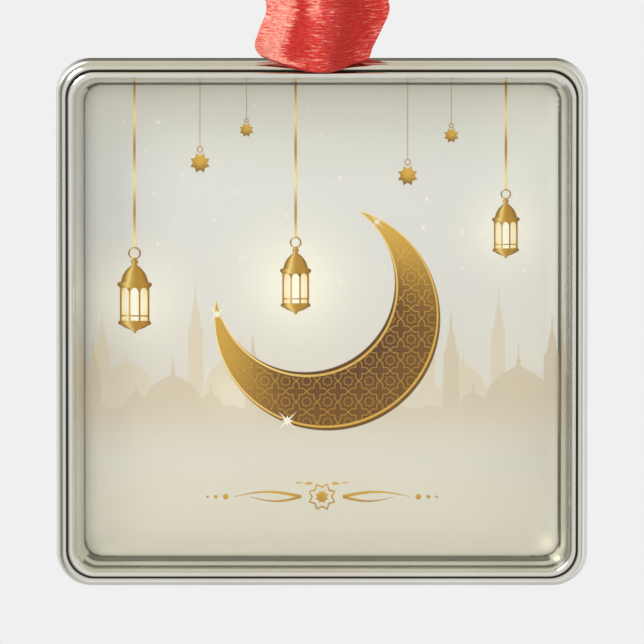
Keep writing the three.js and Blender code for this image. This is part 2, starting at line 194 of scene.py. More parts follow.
class Nodes:
    """Short-hand for the node tree of one material or world."""

    def __init__(self, name, collection="materials", output="OutputMaterial"):
        self.owner = getattr(bpy.data, collection).new(name)
        self.owner.use_nodes = True
        self.tree = self.owner.node_tree
        self.tree.nodes.clear()
        self.output = self.add(output)

    def add(self, kind, inputs=None, **settings):
        node = self.tree.nodes.new("ShaderNode" + kind)
        for key, value in settings.items():
            setattr(node, key, value)
        for key, value in (inputs or {}).items():
            self.set(node, key, value)
        return node

    def set(self, node, key, value):
        socket = node.inputs[key]
        if isinstance(value, bpy.types.NodeSocket):
            self.tree.links.new(value, socket)
        else:
            socket.default_value = value

    def math(self, operation, a, b=0.0):
        return self.add("Math", {0: a, 1: b}, operation=operation).outputs[0]

    def mix_colour(self, share, a, b, blend="MIX"):
        return self.add("Mix", {0: share, 6: a, 7: b}, data_type="RGBA", blend_type=blend).outputs[2]

    def ramp(self, value, stops):
        node = self.add("ValToRGB", {0: value})
        elements = node.color_ramp.elements
        while len(elements) < len(stops):
            elements.new(0.5)
        for element, (position, colour) in zip(elements, stops):
            element.position = position
            element.color = colour
        return node.outputs[0]

    def grey(self, value, low, high):
        """Maps a value from 0..1 to low..high."""
        return self.add("MapRange", {0: value, 3: low, 4: high}).outputs[0]

    def contrast(self, value, low, high):
        """Maps a value from low..high to 0..1."""
        return self.add("MapRange", {0: value, 1: low, 2: high}).outputs[0]

    def attribute(self, name, output="Fac"):
        return self.add("Attribute", attribute_name=name).outputs[output]

    def noise(self, scale, detail, roughness=0.5, vector=None):
        """Noise in object coordinates or in a vector, scaled alike or by three numbers along its axes."""
        vector = vector or self.add("TexCoord").outputs["Object"]
        scales = scale if isinstance(scale, tuple) else (scale, scale, scale)
        scaled = self.add("Mapping", {"Vector": vector, "Scale": scales}).outputs[0]
        settings = {"Vector": scaled, "Scale": 1.0, "Detail": detail, "Roughness": roughness}
        return self.add("TexNoise", settings).outputs[0]

    def bump(self, height, strength, distance):
        return self.add("Bump", {"Height": height, "Strength": strength, "Distance": distance}).outputs[0]

    def finish(self, kind, inputs):
        """Puts the last shader on the output."""
        shader = self.add(kind, inputs).outputs[0]
        self.tree.links.new(shader, self.output.inputs["Surface"])
        return self.owner


def plated_metal():
    """Polished nickel plating, faint handling marks, and painted shade, partly tarnish, at the groove, foot
    and lip.
    """
    n = Nodes("plated_metal")
    fine = n.noise(1400, 4.0)
    clouds = n.noise(130, 2.0)
    tarnish = n.attribute("tarnish")
    bare_plating = n.mix_colour(clouds, srgb(234, 235, 232), srgb(224, 223, 216))
    # painted shade colour for the groove, the inner bead's foot and the lip
    shaded_plating = n.mix_colour(fine, srgb(94, 92, 82), srgb(70, 68, 60))
    return n.finish("BsdfPrincipled", {
        "Base Color": n.mix_colour(tarnish, bare_plating, shaded_plating),
        "Metallic": 1.0,
        "Roughness": n.math("ADD", n.grey(fine, 0.05, 0.15), n.math("MULTIPLY", tarnish, 0.3)),
        "Normal": n.bump(clouds, 0.15, 0.00006),
    })


def brushed_steel():
    """Sheet steel with long fine scratches along the plate."""
    n = Nodes("brushed_steel")
    scratches = n.noise((60, 60, 5200), 6.0, 0.65)
    colour = n.mix_colour(scratches, srgb(176, 176, 172), srgb(214, 213, 208))
    return n.finish("BsdfPrincipled", {
        "Base Color": n.mix_colour(n.grey(n.noise(45, 2.0), 0.0, 0.25), colour, srgb(190, 186, 176)),
        "Metallic": 1.0,
        "Roughness": n.grey(scratches, 0.26, 0.46),
        "Normal": n.bump(scratches, 0.35, 0.00004),
    })


def clear_film():
    """Clear film: what is under it shows, and its face has a thin gloss."""
    n = Nodes("clear_film")
    normal = n.bump(n.noise(38, 1.0), 0.08, 0.0004)
    gloss = n.add("BsdfGlossy", {"Roughness": 0.04, "Normal": normal}).outputs[0]
    clear = n.add("BsdfTransparent").outputs[0]
    facing = n.add("Fresnel", {"IOR": 1.42, "Normal": normal}).outputs[0]
    inside = n.add("NewGeometry").outputs["Backfacing"]
    share = n.math("MULTIPLY", facing, n.math("SUBTRACT", 1.0, inside))
    return n.finish("MixShader", {0: share, 1: clear, 2: gloss})


def printed_paper(name, roughness):
    """Coated paper: its printed colour was worked out for each point, and a fine grain breaks it."""
    n = Nodes(name)
    grain = n.noise(2600, 2.0)
    ink = n.attribute("ink", "Color")
    return n.finish("BsdfPrincipled", {
        "Base Color": n.mix_colour(n.grey(grain, 0.0, 0.07), ink, srgb(196, 188, 164)),
        "Roughness": n.grey(grain, roughness - 0.06, roughness + 0.08),
        "Specular IOR Level": 0.1,
        "Normal": n.bump(grain, 0.05, 0.00002),
    })


def satin():
    """Red satin: fine crosswise threads; painted highlights and glitter where a fold turns to the light, and
    painted shade.
    """
    n = Nodes("satin")
    uv = n.add("UVMap", uv_map="cloth").outputs[0]

    def woven(across, along_it, detail):
        return n.noise((across, along_it, 1), detail, 0.6, uv)

    threads = n.contrast(woven(1000, 5000, 2.0), 0.36, 0.64)
    slubs = woven(240, 1500, 2.0)
    glitter = n.contrast(woven(3400, 5200, 1.0), 0.56, 0.74)
    streaks = n.math("MULTIPLY", n.math("SUBTRACT", woven(620, 4200, 3.0), 0.5), 2.2)
    # painted highlight: the shine attribute, broken by streaks, turns the red to salmon; the shade attribute
    # darkens it
    lit = n.contrast(n.math("ADD", n.attribute("shine"), streaks), 0.3, 0.75)
    red = n.mix_colour(threads, srgb(192, 14, 6), srgb(222, 48, 32))
    shaded = n.mix_colour(n.math("MULTIPLY", n.attribute("shade"), 0.7), red, srgb(150, 14, 8))
    bright = n.mix_colour(threads, srgb(236, 96, 80), srgb(255, 168, 150))
    # painted glitter, only where the painted highlight is
    painted_sparks = n.math("MULTIPLY", glitter, n.grey(lit, 0.03, 0.85))
    height = n.math("ADD", threads, n.math("MULTIPLY", slubs, 0.8))
    return n.finish("BsdfPrincipled", {
        "Base Color": n.mix_colour(painted_sparks, n.mix_colour(lit, shaded, bright), srgb(255, 222, 196)),
        "Roughness": n.grey(slubs, 0.36, 0.56),
        "Specular IOR Level": 0.35,
        "Anisotropic": 0.5,
        "Normal": n.bump(height, 0.7, 0.00008),
    })


def floor_surface():
    """Pale studio floor that fades out, so that it leaves no edge."""
    n = Nodes("studio_floor")
    spot = n.add("TexCoord").outputs["Object"]
    far = n.add("VectorMath", {0: spot}, operation="LENGTH").outputs["Value"]
    pale = n.add("BsdfDiffuse", {"Color": (*BACKGROUND, 1)}).outputs[0]
    clear = n.add("BsdfTransparent").outputs[0]
    return n.finish("MixShader", {0: n.contrast(far, FLOOR_RADIUS * 0.45, FLOOR_RADIUS), 1: pale, 2: clear})


# Mesh helpers

def make_piece(name, corners, faces, material, crease=40):
    mesh = bpy.data.meshes.new(name)
    mesh.from_pydata([tuple(c) for c in corners], [], faces)
    mesh.validate()
    mesh.shade_smooth()
    mesh.set_sharp_from_angle(angle=math.radians(crease))
    mesh.materials.append(material)
    piece = bpy.data.objects.new(name, mesh)
    bpy.context.scene.collection.objects.link(piece)
    return piece


def strip_faces(rings, size, closed):
    """Faces between consecutive rings of equal count."""
    faces = []
    for ring in range(rings if closed else rings - 1):
        following = (ring + 1) % rings
        for i in range(size):
            j = (i + 1) % size
            faces.append((ring * size + i, ring * size + j, following * size + j, following * size + i))
    return faces


def turned_out(corners, faces):
    """The faces, all turned so that a closed piece's faces point out."""
    volume = 0.0
    for face in faces:
        for k in range(1, len(face) - 1):
            a, b, c = corners[face[0]], corners[face[k]], corners[face[k + 1]]
            volume += a.dot(b.cross(c))
    return faces if volume > 0 else [tuple(reversed(f)) for f in faces]


def closed_form(rings, ends):
    """Corners and faces of a form made of rings, with a point that closes it at each end."""
    size = len(rings[0])
    corners = [corner for ring in rings for corner in ring] + ends
    faces = strip_faces(len(rings), size, False)
    last = (len(rings) - 1) * size
    for i in range(size):
        j = (i + 1) % size
        faces.append((last + size, j, i))
        faces.append((last + size + 1, last + i, last + j))
    return corners, turned_out(corners, faces)


def rounded_square(half, radius, steps, straight=1):
    """Points of a square with rounded corners: steps in each corner, and straight steps in each side."""
    points = []
    centre = half - radius
    for corner in range(4):
        centre_x = centre if corner in (0, 3) else -centre
        centre_z = centre if corner < 2 else -centre
        for step in range(steps + 1):
            angle = (corner + step / steps) * math.pi / 2
            points.append((centre_x + radius * math.cos(angle), centre_z + radius * math.sin(angle)))
        last = points[-1]
        next_start = (-last[0], last[1]) if corner % 2 == 0 else (last[0], -last[1])
        for step in range(1, straight):
            points.append(mix(last, next_start, step / straight))
    return points


def ring_at(half, radius, depth, steps, straight=1):
    return [place(x, depth, z) for x, z in rounded_square(half, radius, steps, straight)]


def pressed_sheet(name, outline, radius_at, steps, straight, material):
    """Sheet given by its outline from the middle of its front, round the rim, to the middle of its back."""
    rings = [ring_at(half, radius_at(half), depth, steps, straight) for half, depth in outline[1:-1]]
    ends = [place(0, depth, 0) for _, depth in (outline[0], outline[-1])]
    return make_piece(name, *closed_form(rings, ends), material)


def quadratic(a, b, c, steps):
    """Points of a quadratic curve after its start, up to and with its end."""
    points = []
    for k in range(1, steps + 1):
        t = k / steps
        points.append(tuple(p * (1 - t) ** 2 + 2 * q * t * (1 - t) + r * t * t for p, q, r in zip(a, b, c)))
    return points


# Frame

def frame_corner(inset):
    return OUTER_CORNER - CORNER_TIGHTENING * inset


def frame_section(curve_steps):
    """Points of the frame's section, from the rear edge forward, over both beads and back behind the lip."""
    bead_back = OUTER_BEAD_FRONT + OUTER_BEAD_HEIGHT
    points = [
        (BACK_LEAN + BACK_CHAMFER, FRAME_DEPTH),
        (BACK_LEAN, FRAME_DEPTH - BACK_CHAMFER),
        (0, PARTING_DEPTH),
        (FRONT_LEAN, bead_back),
    ]
    for k in range(1, curve_steps + 1):
        angle = math.pi / 2 * k / curve_steps
        points.append((
            FRONT_LEAN + OUTER_BEAD_WIDTH * (1 - math.cos(angle)),
            bead_back - OUTER_BEAD_HEIGHT * math.sin(angle),
        ))
    points += [(GROOVE, GROOVE_FLOOR), (GROOVE + GROOVE_WIDTH, GROOVE_FLOOR)]
    points += quadratic(points[-1], (GROOVE + GROOVE_WIDTH + 0.04, 0), (CREST_IN, 0), curve_steps)
    points.append((CREST_IN + CREST_WIDTH, 0))
    points += quadratic(points[-1], (BEAD_FOOT[0] - 0.02, 0), BEAD_FOOT, curve_steps)
    points += quadratic(points[-1], BEVEL_BULGE, (WINDOW_IN, LIP_FRONT), curve_steps)
    points += [
        (WINDOW_IN, LIP_BACK),
        (SEAT_IN, LIP_BACK),
        (SEAT_IN, PLATE_SEAT_DEPTH),
        (PLATE_SEAT_IN, PLATE_SEAT_DEPTH),
        (PLATE_SEAT_IN, FRAME_DEPTH),
    ]
    return points


# On each side of the frame, where the painted dark line along the lip begins and is full, as distances in,
# and its strength, then where the painted shade by the inner bead's foot lies, how far it reaches and its
# strength
LIP_SHADE = {"left": (3.0, 3.06, 0.7), "right": (2.84, 2.92, 0.86),
             "above": (2.59, 2.71, 0.92), "below": (2.64, 2.74, 0.78)}
FOOT_SHADE = {"left": (2.12, 0.06, 0.3), "right": (1.98, 0.72, 0.58),
              "above": (2.12, 0.12, 0.4), "below": (2.3, 0.26, 0.95)}
# painted shade is left off the bevel round this corner, so that its bright reflection shows
UNSHADED_CORNER = (25.8, -25.8)  # the bevel is bright here, down to the lip
CURVE_STEPS = 14
CORNER_STEPS = 28


def tarnish_and_painted_shade_at(inset, depth, towards):
    """Painted shade, partly tarnish in the groove: 1 at the groove's floor, the inner bead's foot and the
    lip, fading out up their walls.
    """
    in_groove = 1 - smooth(0.06, 0.2, abs(inset - GROOVE - GROOVE_WIDTH / 2))
    low = smooth(0.45, 0.75, depth)
    foot, reach, strength = FOOT_SHADE[towards]
    from_foot = math.hypot(inset - foot, (depth - BEAD_FOOT[1]) * 0.35)
    at_foot = strength * (1 - smooth(reach * 0.2, reach, from_foot))
    begins, full, strength = LIP_SHADE[towards]
    at_lip = strength * smooth(begins, full, inset) * smooth(1.5, 2.0, depth)
    return max(in_groove * low, at_foot, at_lip)


def make_frame(material):
    section = frame_section(CURVE_STEPS)
    rings = [ring_at(HALF - inset, frame_corner(inset), depth, CORNER_STEPS) for inset, depth in section]
    size = len(rings[0])
    corners = [c for ring in rings for c in ring]
    faces = turned_out(corners, strip_faces(len(rings), size, True))
    piece = make_piece("frame_rim", corners, faces, material, 35)
    tarnish = piece.data.attributes.new("tarnish", "FLOAT", "POINT")
    levels = []
    for i, corner in enumerate(corners):
        x, z = corner.x / MM, (corner.z - MIDDLE_Z) / MM
        along_side = ("left" if x < 0 else "right") if abs(x) > abs(z) else ("below" if z < 0 else "above")
        inset, depth = section[i // size]
        # painted shade, partly tarnish in the groove, by the point's place in the section and its side
        level = tarnish_and_painted_shade_at(inset, depth, along_side)
        if inset > CREST_IN:
            level *= smooth(0.6, 1.0, math.dist((x, z), UNSHADED_CORNER))
        levels.append(level)
    tarnish.data.foreach_set("value", levels)
    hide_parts("frame")
    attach(piece, "ornament")


def make_loop(material):
    """Round wire arch, as a swept tube with closed ends."""
    top = HALF + LOOP_CENTRE_TOP
    bend = [(LOOP_HALF - LOOP_BEND, top)]
    bend += quadratic(bend[0], (LOOP_HALF, top), (LOOP_HALF, top - LOOP_BEND), 12)
    right = bend + [(LOOP_HALF, HALF - LEG_DEPTH)]
    path = [(-x, z) for x, z in reversed(right)] + right
    sides = 20
    corners = []
    for i, (x, z) in enumerate(path):
        before, after = path[max(i - 1, 0)], path[min(i + 1, len(path) - 1)]
        run = Vector((after[0] - before[0], after[1] - before[1])).normalized()
        for k in range(sides):
            angle = 2 * math.pi * k / sides
            out = WIRE_RADIUS * math.cos(angle)
            depth = WIRE_RADIUS * math.sin(angle) - FRONT_Y / MM
            corners.append(place(x - run.y * out, depth, z + run.x * out))
    faces = strip_faces(len(path), sides, False)
    faces.append(tuple(reversed(range(sides))))
    faces.append(tuple(range((len(path) - 1) * sides, len(path) * sides)))
    piece = make_piece("wire_loop", corners, turned_out(corners, faces), material, 50)
    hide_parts("hanging_loop")
    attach(piece, "ornament")


# Domed insert

DOME_CORNER_STEPS = 16
FLAT_STEPS = 24
BEND_STEPS = 8
RIM_REACHES = (0.6, 0.45, 0.36, 0.28, 0.2, 0.1, 0.0)


def dome_corner(half):
    roundness = 1 - (1 - COVER_CORNER / COVER_HALF) * (half / COVER_HALF) ** 2
    return half * max(roundness, 0.02)


def dome_depth(half):
    edge_depth = LIP_BACK + LIP_COVER_GAP
    return edge_depth - DOME_RISE + DOME_RISE * (half / WINDOW) ** DOME_POWER


def dome_profile(distance, skirt_end):
    """One face of a layer, from its middle to its skirt's end, a distance below the film's outer face."""
    def slope_at(half):
        return math.atan(DOME_POWER * DOME_RISE * (half / WINDOW) ** (DOME_POWER - 1) / WINDOW)
    points = []
    halves = [(WINDOW - 0.8) * (k / FLAT_STEPS) ** 0.75 for k in range(FLAT_STEPS + 1)]
    halves += [WINDOW - reach for reach in RIM_REACHES]
    for half in halves:
        slope = slope_at(half)
        points.append((half - distance * math.sin(slope), dome_depth(half) + distance * math.cos(slope)))
    slope = slope_at(WINDOW)
    radius = (COVER_HALF - WINDOW) / (1 - math.sin(slope))
    bend_depth = LIP_BACK + LIP_COVER_GAP + radius * math.cos(slope)
    reach = radius - distance
    for k in range(1, BEND_STEPS + 1):
        angle = slope + (math.pi / 2 - slope) * k / BEND_STEPS
        points.append((COVER_HALF - radius + reach * math.sin(angle), bend_depth - reach * math.cos(angle)))
    points.append((COVER_HALF - distance, skirt_end))
    return points


def dome_layer(name, node, outer, thickness, skirt_end, material, straight=1):
    front = dome_profile(outer, skirt_end)
    back = dome_profile(outer + thickness, skirt_end)
    piece = pressed_sheet(name, front + back[::-1], dome_corner, DOME_CORNER_STEPS, straight, material)
    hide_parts(node)
    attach(piece, "ornament")
    return piece


def ring_through(x, z):
    """Half width of the dome's ring that passes through a point of the picture."""
    x, z = abs(x), abs(z)
    low, high = 0.0, COVER_HALF
    for _ in range(18):
        half = (low + high) / 2
        radius = dome_corner(half)
        out_x, out_z = x - (half - radius), z - (half - radius)
        if out_x > 0 and out_z > 0:
            inside = math.hypot(out_x, out_z) < radius
        else:
            inside = max(out_x, out_z) < radius
        low, high = (low, half) if inside else (half, high)
    return (low + high) / 2


# Printed picture

GOLD_PALE = srgb(248, 228, 150)
GOLD_BRIGHT = srgb(216, 172, 66)
GOLD = srgb(180, 134, 36)
GOLD_DEEP = srgb(122, 80, 10)
BROWN = srgb(84, 45, 2)
LIGHT = srgb(255, 251, 228)
GLASS_EDGE = srgb(247, 214, 120)
TAN = srgb(205, 188, 150)
TAN_FAR = srgb(216, 202, 166)
RIM_SHADE = srgb(84, 82, 68)
# The ground's colour by height, from the picture's foot (-1) to its top (1)
GROUND_TONES = [
    (-1.0, srgb(218, 215, 196)), (-0.7, srgb(220, 216, 197)), (-0.2, srgb(219, 215, 202)),
    (0.2, srgb(220, 219, 210)), (0.6, srgb(222, 222, 213)), (0.9, srgb(219, 218, 206)),
    (1.0, srgb(216, 214, 197)),
]

# The crescent is a disc, less a smaller disc whose middle lies a shift away at a tilt from +X
CRESCENT_CENTRE = (0.6, 0.4)
CRESCENT_RADIUS = 12.4
CRESCENT_HOLLOW = 9.9
CRESCENT_SHIFT = 4.7
CRESCENT_TILT = math.radians(122)
HOLLOW_CENTRE = on_circle(CRESCENT_CENTRE, CRESCENT_SHIFT, CRESCENT_TILT)
STAR_PITCH = 2.3
EIGHT_POINT_NOTCH = math.cos(math.pi / 4) / math.cos(math.pi / 8)
STRING_TOP = WINDOW + 0.2

# Where each lantern's ring is, and its size
LEFT_LANTERN = (-20.6, 8.2, 1.0)
RIGHT_LANTERN = (20.2, 14.6, 0.8)
MIDDLE_LANTERN = (-2.9, 9.4, 0.9)

# Soft lights: place, radius and strength
GLOWS = [
    (LEFT_LANTERN[0], LEFT_LANTERN[1] - 5.6, 4.6, 0.62),
    (RIGHT_LANTERN[0], RIGHT_LANTERN[1] - 4.5, 3.7, 0.65),
    (MIDDLE_LANTERN[0], MIDDLE_LANTERN[1] - 5.0, 5.4, 0.8),
    (-9.5, -7.5, 2.6, 0.6),
    # painted light: a bright spot on the print by the lower right corner of the lip
    (24.7, -24.7, 0.9, 0.7),
]


def ground_ink(x, z):
    """Cream of the paper's ground: a gradient, with painted shade and painted light towards the rim, and
    soft lights.
    """
    colour = level_at(GROUND_TONES, z / WINDOW)
    # painted shade towards the left rim, painted light towards the right and bottom rims
    for reach, rim_painted_light in ((WINDOW + x, 0.8), (WINDOW - x, 1.22), (WINDOW - z, 1.0), (WINDOW + z, 1.2)):
        colour = tuple(v * mix(rim_painted_light, 1.0, smooth(-0.2, 1.8, reach)) for v in colour)
    # painted light at the upper right, painted shade at the lower right and the upper left
    up = smooth(-16, -4, z)
    painted_side_light = (0.12 * up - 0.05 if x > 0 else -0.07 * up) * smooth(13, 24, abs(x))
    colour = tuple(v * (1 + painted_side_light) for v in colour)
    # painted shadow: a dark line along the lip, wider on the right side
    corner = frame_corner(WINDOW_IN)
    out_x, out_z = abs(x) - (WINDOW - corner), abs(z) - (WINDOW - corner)
    if out_x > 0 and out_z > 0:
        reach = corner - math.hypot(out_x, out_z)
    else:
        reach = WINDOW - max(abs(x), abs(z))
    width = mix(0.04, 0.22, smooth(0, 3, x - abs(z)))
    colour = mix(colour, RIM_SHADE, 0.85 * (1 - smooth(width - 0.07, width + 0.05, reach)))
    for centre_x, centre_z, radius, strength in GLOWS:
        far = ((x - centre_x) ** 2 + (z - centre_z) ** 2) / radius ** 2
        colour = mix(colour, LIGHT, strength * math.exp(-far))
    return colour


def paint(piece, inks):
    """Gives each corner of a piece its printed colour."""
    ink = piece.data.color_attributes.new("ink", "FLOAT_COLOR", "POINT")
    ink.data.foreach_set("color", [v for colour in inks for v in colour])


class Drawing:
    """Flat shapes of ink, laid on the domed paper."""

    def __init__(self, name, lift, material):
        self.name, self.lift, self.material = name, lift, material
        self.points, self.faces, self.inks = [], [], []

    def add(self, x, z, ink):
        self.points.append((x, z))
        self.inks.append((*ink[:3], 1.0))
        return len(self.points) - 1

    def rows(self, rows):
        """Quads between rows of (x, z, ink) points."""
        index = [[self.add(*point) for point in row] for row in rows]
        for upper, lower in zip(index, index[1:]):
            for i in range(len(upper) - 1):
                self.faces.append((upper[i], upper[i + 1], lower[i + 1], lower[i]))

    def polygon(self, outline, ink_at):
        """Filled shape from its outline."""
        index = [self.add(x, z, ink_at(x, z)) for x, z in outline]
        for triangle in tessellate_polygon([[Vector((x, z, 0)) for x, z in outline]]):
            self.faces.append(tuple(index[i] for i in triangle))

    def line(self, path, width, ink_at):
        """Line of even width along a path. width may be a number for each point."""
        rows = []
        for i, (x, z) in enumerate(path):
            before, after = path[max(i - 1, 0)], path[min(i + 1, len(path) - 1)]
            run = Vector((after[0] - before[0], after[1] - before[1]))
            if run.length == 0:
                continue
            run.normalize()
            half = (width[i] if isinstance(width, list) else width) / 2
            ink = ink_at(x, z)
            side_x, side_z = run.y * half, run.x * half
            rows.append([(x - side_x, z + side_z, ink), (x + side_x, z - side_z, ink)])
        self.rows(rows)

    def lathe(self, x, profile, ink_at, across):
        """Shape symmetrical about an upright line, from (half width, z) pairs, top to bottom."""
        rows = []
        for half, z in profile:
            shares = [2 * k / across - 1 for k in range(across + 1)]
            rows.append([(x + share * half, z, ink_at(share, z)) for share in shares])
        self.rows(rows)

    def fan(self, middle, rim):
        """Fills a closed rim of points from a middle point."""
        self.faces += [(middle, a, b) for a, b in zip(rim, rim[1:] + rim[:1])]

    def build(self):
        """Closed film of ink: its front, its back half its height above the paper, and its thin edges."""
        depths = [dome_depth(ring_through(x, z)) + PRINT_BELOW for x, z in self.points]
        front = [place(x, depth - self.lift, z) for (x, z), depth in zip(self.points, depths)]
        back = [place(x, depth - self.lift / 2, z) for (x, z), depth in zip(self.points, depths)]
        count = len(front)
        faces = []
        for face in self.faces:
            a, b, c = (front[i] for i in face[:3])
            faces.append(face if (b - a).cross(c - a).y < 0 else tuple(reversed(face)))
        runs = {run for face in faces for run in zip(face, face[1:] + face[:1])}
        edges = [(b, a, a + count, b + count) for a, b in sorted(runs) if (b, a) not in runs]
        faces += [tuple(i + count for i in reversed(face)) for face in faces] + edges
        piece = make_piece(self.name, front + back, faces, self.material)
        paint(piece, self.inks + self.inks)
        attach(piece, "ornament")
        return piece


def metal_ink(share, light=-0.45):
    """Gold as on a round body: bright a little left of its middle, dark at both sides."""
    bright = max(0.0, 1 - abs(share - light) / 0.55)
    edge = smooth(0.55, 1.0, abs(share))
    colour = mix(GOLD, GOLD_BRIGHT, bright)
    colour = mix(colour, GOLD_PALE, bright ** 4 * 0.8)
    return mix(colour, GOLD_DEEP, edge * 0.85)


def crescent_edges(share):
    """Outer and inner point of the crescent, from one horn (0) to the other (1)."""
    reach = (CRESCENT_RADIUS ** 2 + CRESCENT_SHIFT ** 2 - CRESCENT_HOLLOW ** 2) / (2 * CRESCENT_SHIFT)
    edges = []
    for centre, radius, along_tilt in (
        (CRESCENT_CENTRE, CRESCENT_RADIUS, reach),
        (HOLLOW_CENTRE, CRESCENT_HOLLOW, reach - CRESCENT_SHIFT),
    ):
        horn = math.acos(along_tilt / radius)
        edges.append(on_circle(centre, radius, CRESCENT_TILT + horn + (2 * math.pi - 2 * horn) * share))
    return edges


def inside_crescent(spot, margin):
    in_disc = math.dist(spot, CRESCENT_CENTRE) < CRESCENT_RADIUS - margin
    return in_disc and math.dist(spot, HOLLOW_CENTRE) > CRESCENT_HOLLOW + margin


def crescent_ink(share, across):
    """Gold at the horns, deep brown in the belly, with a bright rim outside and a shaded inner edge."""
    belly = math.sin(math.pi * share) ** 1.5
    colour = mix(GOLD_BRIGHT, GOLD_DEEP, smooth(0.0, 0.8, belly))
    colour = mix(colour, BROWN, smooth(0.35, 1.0, belly) * (0.35 + 0.5 * smooth(0.3, 0.9, across)))
    return mix(colour, GOLD, 0.35 * smooth(0.35, 0.0, share))


def draw_crescent(material):
    """The crescent's body, then on it a bright line along both edges and a lattice of stars."""
    steps, across_steps = 150, 14
    shares = [0.004 + 0.992 * k / steps for k in range(steps + 1)]
    body = Drawing("print_crescent", 0.012, material)
    rows = []
    for share in shares:
        outer, inner = crescent_edges(share)
        spots = [m / across_steps for m in range(across_steps + 1)]
        rows.append([(*mix(outer, inner, t), crescent_ink(share, t)) for t in spots])
    body.rows(rows)
    body.build()

    lines = Drawing("print_crescent_lines", 0.024, material)
    for side in (0, 1):
        path = []
        for share in shares:
            edges = crescent_edges(share)
            path.append(mix(edges[side], edges[1 - side], 0.02 + 0.05 * math.sin(math.pi * share)))
        widths = [0.06 + 0.2 * math.sin(math.pi * share) for share in shares]
        lines.line(path, widths, lambda x, z: mix(GOLD_BRIGHT, GOLD_PALE, smooth(-12, 12, z - x)))
    reach = int(CRESCENT_RADIUS / STAR_PITCH) + 2
    for i in range(-reach, reach + 1):
        for j in range(-reach, reach + 1):
            centre = (CRESCENT_CENTRE[0] + i * STAR_PITCH, CRESCENT_CENTRE[1] + j * STAR_PITCH)
            draw_lattice_star(lines, centre, STAR_PITCH / 2, 0.1)
            draw_lattice_star(lines, centre, STAR_PITCH / 4.2, 0.07)
    lines.build()


def star_outline(centre, radius, points, depth, turn=0.0):
    """Star whose notches reach to a share of its radius."""
    reaches = (radius, radius * depth)
    return [on_circle(centre, reaches[k % 2], turn + math.pi * k / points) for k in range(2 * points)]


def ring_path(x, z, radius, steps):
    angles = [2 * math.pi * k / steps for k in range(steps + 1)]
    return [(x + radius * math.sin(angle), z + radius * math.cos(angle)) for angle in angles]


def draw_string(drawing, x, foot, width, ink_at):
    drawing.line([(x, mix(STRING_TOP, foot, k / 30)) for k in range(31)], width, ink_at)


def draw_lattice_star(lines, centre, radius, width):
    """Eight-pointed star outline, kept where it lies inside the crescent."""
    outline = star_outline(centre, radius, 8, EIGHT_POINT_NOTCH)
    paths = [[]]
    for a, b in zip(outline, outline[1:] + outline[:1]):
        for k in range(5):
            spot = mix(a, b, k / 4)
            if inside_crescent(spot, 0.55):
                paths[-1].append(spot)
            else:
                paths.append([])
    for path in paths:
        if len(path) > 2:
            lines.line(path, width, lambda x, z: mix(GOLD, GOLD_BRIGHT, smooth(-10, 8, z - 0.4 * x)))


def draw_lantern(drawing, light, x, top, size):
    """Hanging lantern: string, ring, finial, dome, cornice, foot, and lit glass behind posts and arches."""
    def z(down):
        return top - down * size

    draw_string(drawing, x, z(0), 0.25, lambda px, pz: mix(GOLD, GOLD_PALE, 0.5 + 0.5 * math.sin(pz * 0.9)))
    ring = ring_path(x, z(0.62), 0.62 * size, 28)
    drawing.line(ring, 0.16 * size, lambda px, pz: metal_ink((px - x) / (0.7 * size)))
    finial = [(0.05, 1.2), (0.32, 1.4), (0.4, 1.62), (0.22, 1.85), (0.3, 1.95)]
    dome = [(0.3, 1.95), (0.62, 2.2), (1.0, 2.6), (1.28, 3.05), (1.42, 3.5), (1.5, 3.8)]
    cornice = [(1.5, 3.8), (1.85, 3.9), (1.92, 4.15), (1.72, 4.35), (1.62, 4.45)]
    foot = [(1.62, 8.1), (1.78, 8.2), (1.82, 8.45), (1.5, 8.6), (1.1, 8.85), (0.7, 9.0), (0.3, 9.15),
            (0.05, 9.5)]
    for part in (finial, dome, cornice, foot):
        profile = [(half * size, z(down)) for half, down in part]
        drawing.lathe(x, profile, lambda share, pz: metal_ink(share), 14)

    def lit_glass(share, pz):
        far = 0.4 + 0.6 * smooth(0.0, 2.2, abs(pz - z(6.2)) / size)
        return mix(LIGHT, GLASS_EDGE, smooth(0.1, 1.0, abs(share)) * far)

    light.lathe(x, [(1.55 * size, z(4.4 + 0.37 * k)) for k in range(11)], lit_glass, 12)
    for post in (-1.0, -0.36, 0.36, 1.0):
        path = [(x + post * 1.52 * size, z(4.4 + 3.75 * k / 6)) for k in range(7)]
        drawing.line(path, 0.2 * size, lambda px, pz: metal_ink(post * 0.8))
    for bay, reach in ((-0.68, 0.32), (0.0, 0.36), (0.68, 0.32)):
        draw_arch(drawing, x + bay * 1.52 * size, z(4.4), reach * 1.52 * size, 0.75 * size)
    band = [(x + 1.58 * size * (k / 6 - 1), z(7.55)) for k in range(13)]
    drawing.line(band, 0.14 * size, lambda px, pz: metal_ink((px - x) / (1.6 * size)))


def draw_arch(drawing, x, top, half, drop):
    """Spandrels that leave a pointed arch open between two posts."""
    for side in (-1, 1):
        corner = (x + side * half, top)
        curve = [(x + side * half * s, top - drop * s * s) for s in (0.0, 0.25, 0.5, 0.75, 1.0)]
        drawing.polygon([corner] + curve[::-1], lambda px, pz: metal_ink(0.3 * side))


